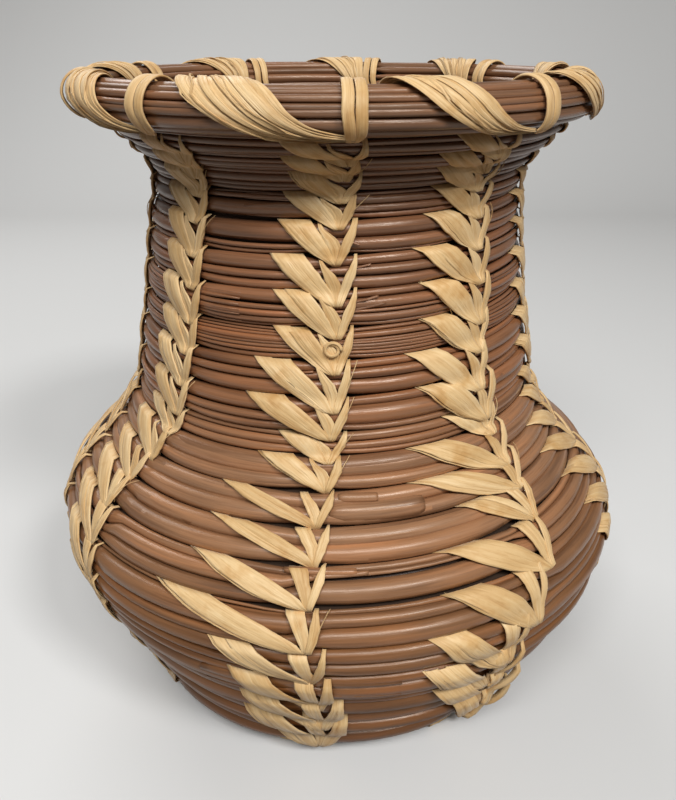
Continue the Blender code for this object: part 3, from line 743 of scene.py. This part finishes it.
# How often the left leg is split into one, two or three strands, and how often it has a thin strand beside
# it or a stray fibre
STRAND_CHANCES = (0.5, 0.38, 0.12)
STRAND_OVERLAP = 0.14
THIN_STRAND_CHANCE = 0.3
STRAY_CHANCE = 0.25
STRAY_THICKNESS = 0.085 * MM
INNER_STRAND_WIDTH = 2.4 * MM
# The curl of raffia on the front line
CURL_AZIMUTH = -0.4
CURL_HEIGHT = 98.6 * MM
CURL_THICKNESS = 0.32 * MM
CURL_TURNS = 1.3
CURL_STEPS = 30


def outer_face(lap, length):
    """Distance from the wall's middle to the outside of the stems, at a length up the wall."""
    low, high = row_span(lap)
    row = high - low
    across = np.clip((length - (low + high) / 2) / (row / 2), -1, 1)
    return bundle_depth(row) * row_swell(across) * PRESSED_FACE + flare(lap)


def strip_ring(places, lift, bulge, thickness=RAFFIA_THICKNESS, folds=0):
    """Cross-section of a flat strip: places across it and distances out, along one face and back."""
    arch = bulge * (1 - (2 * places - 1) ** 2) + folds
    faces = [arch + thickness / 2, (arch - thickness / 2)[..., ::-1]]
    return np.concatenate([places, places[::-1]]), lift + np.concatenate(faces, axis=-1)


def fade(share, reach, depth, power):
    """A depth that fades to nothing over the first part of a leg."""
    return depth * np.clip(1 - share / reach, 0, 1) ** power


def leg(lap, azimuth, hole, top, left, right, lift, bulge, thickness=RAFFIA_THICKNESS):
    """One leg of the stitch, from its hole to its groove. Its left and right edges are given as pairs of a
    share of the way up and millimetres sideways; lift is how far it stands clear of the stems."""
    share = np.linspace(0, 1, LEG_STEPS)
    folds = rng.uniform(-1, 1, LEG_PLACES) * LEG_FOLD
    wander = rng.uniform(-EDGE_WANDER, EDGE_WANDER, (2, LEG_STEPS))
    left_edge = ((look_up(left, share) + wander[0]) * MM)[:, None]
    right_edge = ((look_up(right, share) + wander[1]) * MM)[:, None]
    length = hole + (top - hole) * share
    radius = radius_at(length)
    low, high = row_span(lap)
    row = high - low
    above = np.clip((length - low) / row, 0, 1)
    face = np.where(length < low, outer_face(lap - 1, length), outer_face(lap, length))
    floor = LEG_FLOOR + (1 - LEG_FLOOR) * np.sin(math.pi * above) ** 0.7
    face = np.maximum(face, bundle_depth(row) * floor)
    face += fade(share, LOWER_SHARE, LOWER_LIFT, 0.7)
    face -= fade(share, DIVE_SHARE, DIVE_DEPTH, 2) + fade(1 - share, TUCK_SHARE, TUCK_DEPTH, 2)
    places = np.linspace(0, 1, LEG_PLACES)
    across, out = strip_ring(places, lift, bulge * (0.4 + 0.6 * share)[:, None], thickness, folds)
    sideways = left_edge + (right_edge - left_edge) * across
    climb = sideways * (row / (TURN * radius) * share)[:, None]
    return on_wall(azimuth + np.degrees(sideways / radius[:, None]), length[:, None] + climb,
                   face[:, None] + out)


def stitch_places(line):
    """Every row's stitch of one line: its lap, azimuth and the row's edges. The line leans, so the place is
    found in three steps."""
    places = []
    for whole in range(-1, int(lap_numbers[-1]) + 1):
        azimuth = float(line_azimuth(line, 0))
        for _ in range(3):
            lap = whole + (azimuth - FIRST_AZIMUTH) / 360
            low, high = row_span(np.array(lap))
            azimuth = float(line_azimuth(line, height_at((low + high) / 2)))
        bare = BARE_LAPS[0] < lap < BARE_LAPS[1]
        if FIRST_STITCHED_LAP < lap < lap_numbers[-1] and not bare and high - low > LEAST_ROW:
            places.append((lap, azimuth, float(low), float(high)))
    return places


def fan(line, lap, azimuth, low, high):
    """The three legs over one row, some with a split-off strand or a stray fibre, and the strand inside."""
    height = height_at(high) / MM
    foot = height_at(low) / MM
    reach = look_up(LINE_REACHES[line], height) * rng.uniform(0.94, 1.06)
    drop = look_up(LINE_DROPS[line], foot) * rng.uniform(0.92, 1.08) * MM
    wide = min(0.20 * reach + 2.9, 8.0) * rng.uniform(0.88, 1.08)
    if line == FRONT_LINE:
        wide *= look_up(FRONT_LINE_WIDTH, height)
    if line == RIGHT_LINE:
        loose, twisted, broad = look_up(LOOSE_LEGS, foot) * MM, look_up(TWISTED_RIGHT_LEG, foot) * MM, 0
    else:
        loose, twisted, broad = 0, 0, look_up(BROAD_RIGHT_LEG, foot)
    hole, top = low - drop, high + 0.1 * MM
    # Edges of the left leg, in millimetres to the right of the line
    shift = rng.uniform(-0.2, 0.2)
    body = reach - wide
    bow = rng.uniform(0, 1)
    outer = np.array((shift - 0.45, shift - 0.11 * reach, -(0.38 + 0.08 * bow) * reach,
                      -(0.72 + 0.05 * bow) * reach, -0.93 * reach, -1.06 * reach))
    inner = np.array((shift + 0.2, shift, shift - 0.06 * reach, -0.40 * body, -0.74 * body, -0.92 * body))

    def leaf_edge(cut):
        return tuple(zip(LEAF_SHARES, outer + (inner - outer) * cut))

    tubes = []
    strands = rng.choice([1, 2, 3], p=STRAND_CHANCES)
    cuts = np.linspace(0, 1, strands + 1)
    for i in range(strands):
        left = leaf_edge(cuts[i] - (STRAND_OVERLAP if i else 0))
        tip = top + rng.uniform(-0.1, 0.15) * MM
        lift = (0.34 + 0.10 * (i % 2) + rng.uniform(0, 0.05)) * MM + loose
        tubes.append(leg(lap, azimuth, hole, tip, left, leaf_edge(cuts[i + 1]), lift, 0.16 * MM))
    if rng.uniform() < THIN_STRAND_CHANCE:
        tubes.append(leg(lap, azimuth, hole, top, leaf_edge(-0.08), leaf_edge(-0.02), 0.30 * MM + loose,
                         0.02 * MM))
    # The middle leg is fuller on the belly
    full = np.clip((76 - height) / 12, 0, 1)
    left = ((0, shift - 0.4), (0.25, shift - 0.9), (0.80, -2.7 - 0.3 * full), (1, -3.3 - 0.4 * full))
    right = ((0, shift + 0.3), (0.42, shift + 0.9), (0.62, shift + 0.1 + 0.4 * full),
             (0.84, -1.9 + 2.1 * full), (1, -2.8 + 2.6 * full))
    tubes.append(leg(lap, azimuth, hole + 0.1 * MM, high - 0.3 * MM, left, right, 0.26 * MM + loose,
                     0.10 * MM))
    # The right leg ends in a point beside the line, nearer to it on the left line
    point = rng.uniform(2.4, 3.7) * (0.75 if line == LEFT_LINE else 1)
    tip = top + rng.uniform(-0.2, 0.3) * MM
    left = ((0, shift - 0.1), (0.30, shift + 0.4), (0.6, 0.38 * point), (1, point - rng.uniform(0.3, 0.9)))
    right = ((0, shift + 0.7), (0.3, shift + 2.0 + broad), (0.6, 0.25 * point + 2.2 + broad),
             (1, point + broad))
    tubes.append(leg(lap, azimuth, hole, tip, left, right, 0.37 * MM + loose + twisted / 2, 0.14 * MM,
                     RAFFIA_THICKNESS + twisted))
    if rng.uniform() < STRAY_CHANCE:
        tubes.append(stray(lap, azimuth, hole, top, rng.choice([-1, 1]), reach))
    tubes.append(inner_strand(azimuth, low, high))
    return tubes


def stray(lap, azimuth, hole, top, side, reach):
    """A fibre that has come off a leg's left (-1) or right (1) edge and curls away from it."""
    share = np.linspace(0, 1, 10)
    length = hole + (top - hole) * (0.25 + 0.75 * share)
    away = -reach * (0.45 + 0.5 * share) if side < 0 else 1.6 + 1.8 * share
    away = (away + side * rng.uniform(0.4, 1.6) * share ** 2) * MM
    face = outer_face(lap, length) + (0.7 + rng.uniform(0.2, 1.2) * share ** 2) * MM
    turn = round_angles(4)
    sideways = away[:, None] + STRAY_THICKNESS * np.cos(turn)
    return on_wall(azimuth + np.degrees(sideways / radius_at(length)[:, None]), length[:, None],
                   face[:, None] + STRAY_THICKNESS * np.sin(turn))


def inner_strand(azimuth, low, high):
    """The strand that slants up inside the wall from one row to the next."""
    share = np.linspace(0, 1, 8)
    length = low - 0.4 * MM + (high - low + 0.8 * MM) * share
    face = bundle_depth(high - low) * (0.84 + 0.2 * np.sin(math.pi * share))
    face -= np.clip(np.abs(share - 0.5) - 0.38, 0, 1) * 9 * MM
    across, out = strip_ring(np.linspace(0, 1, 5), 0.3 * MM, 0.15 * MM)
    sideways = ((2.8 * share - 1.4) * MM)[:, None] + (across - 0.5) * INNER_STRAND_WIDTH
    return on_wall(azimuth + np.degrees(sideways / radius_at(length)[:, None]), length[:, None],
                   -(face[:, None] + out))


def curl_tube():
    """A loose end of raffia that has rolled up into a curl."""
    length = np.interp(CURL_HEIGHT, wall_height, wall_length)
    angle = np.linspace(0, CURL_TURNS * TURN, CURL_STEPS)[:, None]
    share = angle / angle[-1]
    turn = round_angles(6)
    middle = (1.5 - 0.6 * share) * MM + CURL_THICKNESS * np.cos(turn)
    out = (3.6 - 0.5 * share) * MM + CURL_THICKNESS * np.sin(turn)
    return on_wall(CURL_AZIMUTH + np.degrees(middle * np.cos(angle) / radius_at(length)),
                   length + middle * np.sin(angle), out)


for line in range(len(LINE_AZIMUTHS)):
    legs = [curl_tube()] if line == FRONT_LINE else []
    for stitch in stitch_places(line):
        legs += fan(line, *stitch)
    join_tubes(f"wheat_stitches_{line + 1}", legs, raffia, f"stitch_line_{line + 1}")


# The rim lashing. At each line a sheaf of fine strands fans out from the last hole, slants up and to the
# left over the roll, and meets again inside. Then two strands go straight over the roll beside the hole as
# an upright wrap.

BAND_STRANDS = 12
FIBRES_PER_BAND = 4
BAND_STEPS = 34
BAND_THICKNESS = 0.14 * MM
FIBRE_THICKNESS = 0.12 * MM
# A band's first and last strand: how far round the roll they are, and degrees from the line, left ones
# below zero
BAND_ANGLES = ((-62, -45, -20, 22, 90, 150, 228), (-62, -70, -58, 22, 90, 150, 228))
BAND_PLACES = ((1.0, -5.0, -9.5, -12.8, -18.0, -24.0, -30.0), (0.3, -8.0, -15.5, -27.0, -32.0, -32.5, -32.0))
# Width of a strand, by the share of its way over the roll
STRAND_WIDTHS = ((0, 0.8), (0.2, 1.3), (0.5, 2.2), (0.7, 2.4), (1, 0.9))
# How wide each line's band is, and how many degrees beside the line its wrap stands
BAND_WIDTHS = (0.9, 1.0, 0.72, 0.9, 0.8, 0.9, 0.8, 0.9, 0.9)
WRAP_PLACES = (0.6, 0.6, 2.8, 2, 2, 2, 2, 2, 2)
WRAP_THICKNESS = 0.30 * MM
WRAP_APART = 1.14
WRAP_ENDS = (-70, 235)
WRAP_STEPS = 30
# The wrap's ends lean to the left, and narrow, by the angle round the roll
WRAP_LEAN = ((-70, 1.6), (-45, 0.5), (0, 0))
WRAP_WIDTHS = ((-70, 1.4), (-30, 1.75), (150, 1.75), (235, 1.3))


def rim_strip(azimuths, angles, width, lift, bulge, thickness):
    """A flat strip over the roll along azimuths and angles, with its width and lift at each step."""
    places = np.linspace(0, 1, 9)
    folds = rng.uniform(-0.05, 0.05, len(places)) * MM
    across, out = strip_ring(places, lift[:, None], bulge, thickness, folds)
    aside = np.degrees((across - 0.5) * width[:, None] / ROLL_RADIUS)
    return on_roll(azimuths[:, None] + aside, angles[:, None], ROLL_HALF + out)


def band_path(share, place):
    """Angles round the roll, and degrees from the line, of a strand between the first and the last."""
    knots = np.linspace(0, 1, len(BAND_PLACES[0]))
    return [np.interp(share, knots, first) * (1 - place) + np.interp(share, knots, last) * place
            for first, last in (BAND_ANGLES, BAND_PLACES)]


def band_tubes(line):
    """The strands and loose fibres of one slanting band, from the hole outside to the hole inside."""
    tubes = []
    start = LINE_AZIMUTHS[line][-1][1]
    share = np.linspace(0, 1, BAND_STEPS)
    arch = np.sin(math.pi * share)
    for strand in range(BAND_STRANDS):
        place = np.clip((strand + rng.uniform(-0.4, 0.4)) / (BAND_STRANDS - 1), 0, 1) * BAND_WIDTHS[line]
        angles, offsets = (np.convolve(np.pad(path, 3, mode="edge"), np.full(7, 1 / 7), mode="valid")
                           for path in band_path(share, place))
        azimuths = start + offsets + waves(share, 1.0, 0.35)
        width = look_up(STRAND_WIDTHS, share) * rng.uniform(0.55, 1.25) * MM
        lift = (0.16 + 0.23 * (strand % 3) + 0.08 * rng.uniform(0, 1) + 0.2 * arch) * MM
        tubes.append(rim_strip(azimuths, angles, width, lift, 0.04 * MM, BAND_THICKNESS))
    for _ in range(FIBRES_PER_BAND):
        place = rng.uniform(-0.06, 1.0) * BAND_WIDTHS[line]
        angles, offsets = band_path(share, place)
        azimuths = start + offsets + waves(share, 0.6, 1.3) * arch
        lift = (0.75 + rng.uniform(0, 0.5) * arch) * MM
        width = np.full(BAND_STEPS, rng.uniform(0.18, 0.34) * MM)
        tubes.append(rim_strip(azimuths, angles, width, lift, 0, FIBRE_THICKNESS))
    return tubes


def wrap_tubes(line):
    """The two upright strands beside the hole."""
    tubes = []
    start = LINE_AZIMUTHS[line][-1][1] + WRAP_PLACES[line]
    angles = np.linspace(*WRAP_ENDS, WRAP_STEPS)
    for side in (-1, 1):
        azimuths = start + side * WRAP_APART + waves(angles / 360, 0.8, 0.12)
        azimuths -= look_up(WRAP_LEAN, angles) * (0.6 + 0.4 * side)
        lift = np.full(len(angles), (0.52 + 0.1 * rng.uniform(0, 1)) * MM)
        tubes.append(rim_strip(azimuths, angles, look_up(WRAP_WIDTHS, angles) * MM, lift, 0.13 * MM,
                               WRAP_THICKNESS))
    return tubes


for line in range(len(LINE_AZIMUTHS)):
    join_tubes(f"rim_band_strands_{line + 1}", band_tubes(line), raffia, f"rim_band_{line + 1}")
    join_tubes(f"rim_wrap_strands_{line + 1}", wrap_tubes(line), raffia, f"rim_wrap_{line + 1}")


# The stage: a plain pale floor that turns up into a backdrop, two soft lamps above the front, a weaker one
# behind, a dim room, and the camera close in front of the basket, looking down at it.

FLOOR_HALF = 5.0
BACKDROP_START = 0.55
BACKDROP_BEND = 0.25
BACKDROP_HEIGHT = 1.6
# The floor's colour as it lights the basket and as it is seen, and the room's light likewise
FLOOR_SHADE = (0.10, 0.085, 0.07, 1)
FLOOR_COLOUR = (0.70, 0.70, 0.69, 1)
ROOM_COLOUR = (1.0, 0.98, 0.95, 1)
ROOM_LIGHT = 0.10
ROOM_SEEN = 0.45
# Name, place, the point that it lights, width and height, and power of each lamp
LAMPS = (
    ("overhead", (-0.05, -0.68, 0.80), (0, 0, 0.08), (0.60, 0.22), 6.8),
    ("window", (0.46, -0.72, 0.86), (0, 0, 0.08), (0.22, 0.16), 6.2),
    ("behind", (-0.30, 0.50, 0.62), (0, 0, 0.07), (0.60, 0.30), 2.6),
)
CAMERA_PLACE = Vector((0.53, -179.74, 152.15)) * MM
CAMERA_PITCH = math.radians(24.76)
LENS_LENGTH = 36.0
FILM_WIDTH = 36.0
CLIP_START = 0.01


def seen_by(add, *rays):
    """1 for light paths of any of these kinds, and 0 for the others."""
    path = add("ShaderNodeLightPath")
    seen = path.outputs[rays[0]]
    for ray in rays[1:]:
        either = add("ShaderNodeMath", [(0, seen), (1, path.outputs[ray])], operation="MAXIMUM")
        seen = either.outputs["Value"]
    return seen


def stage_floor():
    """A floor that looks pale, but throws little light back up at the basket."""
    material, shader, add = new_nodes("pale_floor")
    seen = seen_by(add, "Is Camera Ray", "Is Glossy Ray")
    colour = add("ShaderNodeMix", [("Factor", seen), ("A", FLOOR_SHADE), ("B", FLOOR_COLOUR)],
                 data_type="RGBA")
    connect(shader, (("Base Color", colour.outputs["Result"]), ("Roughness", 0.8)))
    profile = [(-FLOOR_HALF, 0.0), (BACKDROP_START, 0.0)]
    for turn in np.linspace(0.1, math.pi / 2, 12):
        deep, high = BACKDROP_BEND * math.sin(turn), BACKDROP_BEND * (1 - math.cos(turn))
        profile.append((BACKDROP_START + deep, high))
    profile.append((BACKDROP_START + BACKDROP_BEND, BACKDROP_HEIGHT))
    verts = [(x, y, z) for y, z in profile for x in (-FLOOR_HALF, FLOOR_HALF)]
    faces = [(2 * i, 2 * i + 1, 2 * i + 3, 2 * i + 2) for i in range(len(profile) - 1)]
    mesh = bpy.data.meshes.new("floor")
    mesh.from_pydata(verts, [], faces)
    mesh.shade_smooth()
    mesh.materials.append(material)
    new_object("floor", mesh)


def area_light(name, place, aim, size, power):
    """A flat lamp of a width and a height that looks from its place at a point."""
    data = bpy.data.lights.new(name, "AREA")
    data.shape = "RECTANGLE"
    data.size, data.size_y = size
    data.energy = power
    lamp = new_object(name, data)
    lamp.location = place
    lamp.rotation_euler = (Vector(aim) - Vector(place)).to_track_quat("-Z", "Y").to_euler()


def soft_room():
    """A room that looks pale, but lights the basket only a little."""
    world = bpy.data.worlds.new("soft_room")
    world.use_nodes = True
    tree = world.node_tree
    add = node_adder(tree)
    seen = seen_by(add, "Is Camera Ray", "Is Glossy Ray", "Is Transmission Ray")
    strength = add("ShaderNodeMapRange", [("Value", seen), ("To Min", ROOM_LIGHT), ("To Max", ROOM_SEEN)])
    connect(tree.nodes["Background"], (("Strength", strength.outputs["Result"]), ("Color", ROOM_COLOUR)))
    bpy.context.scene.world = world


stage_floor()
for lamp in LAMPS:
    area_light(*lamp)
soft_room()
bpy.context.scene.view_settings.view_transform = "Standard"

lens = bpy.data.cameras.new("camera")
lens.lens = LENS_LENGTH
lens.sensor_width = FILM_WIDTH
lens.clip_start = CLIP_START
camera = new_object("camera", lens)
camera.location = CAMERA_PLACE
camera.rotation_euler = (math.pi / 2 - CAMERA_PITCH, 0, 0)
bpy.context.scene.camera = camera
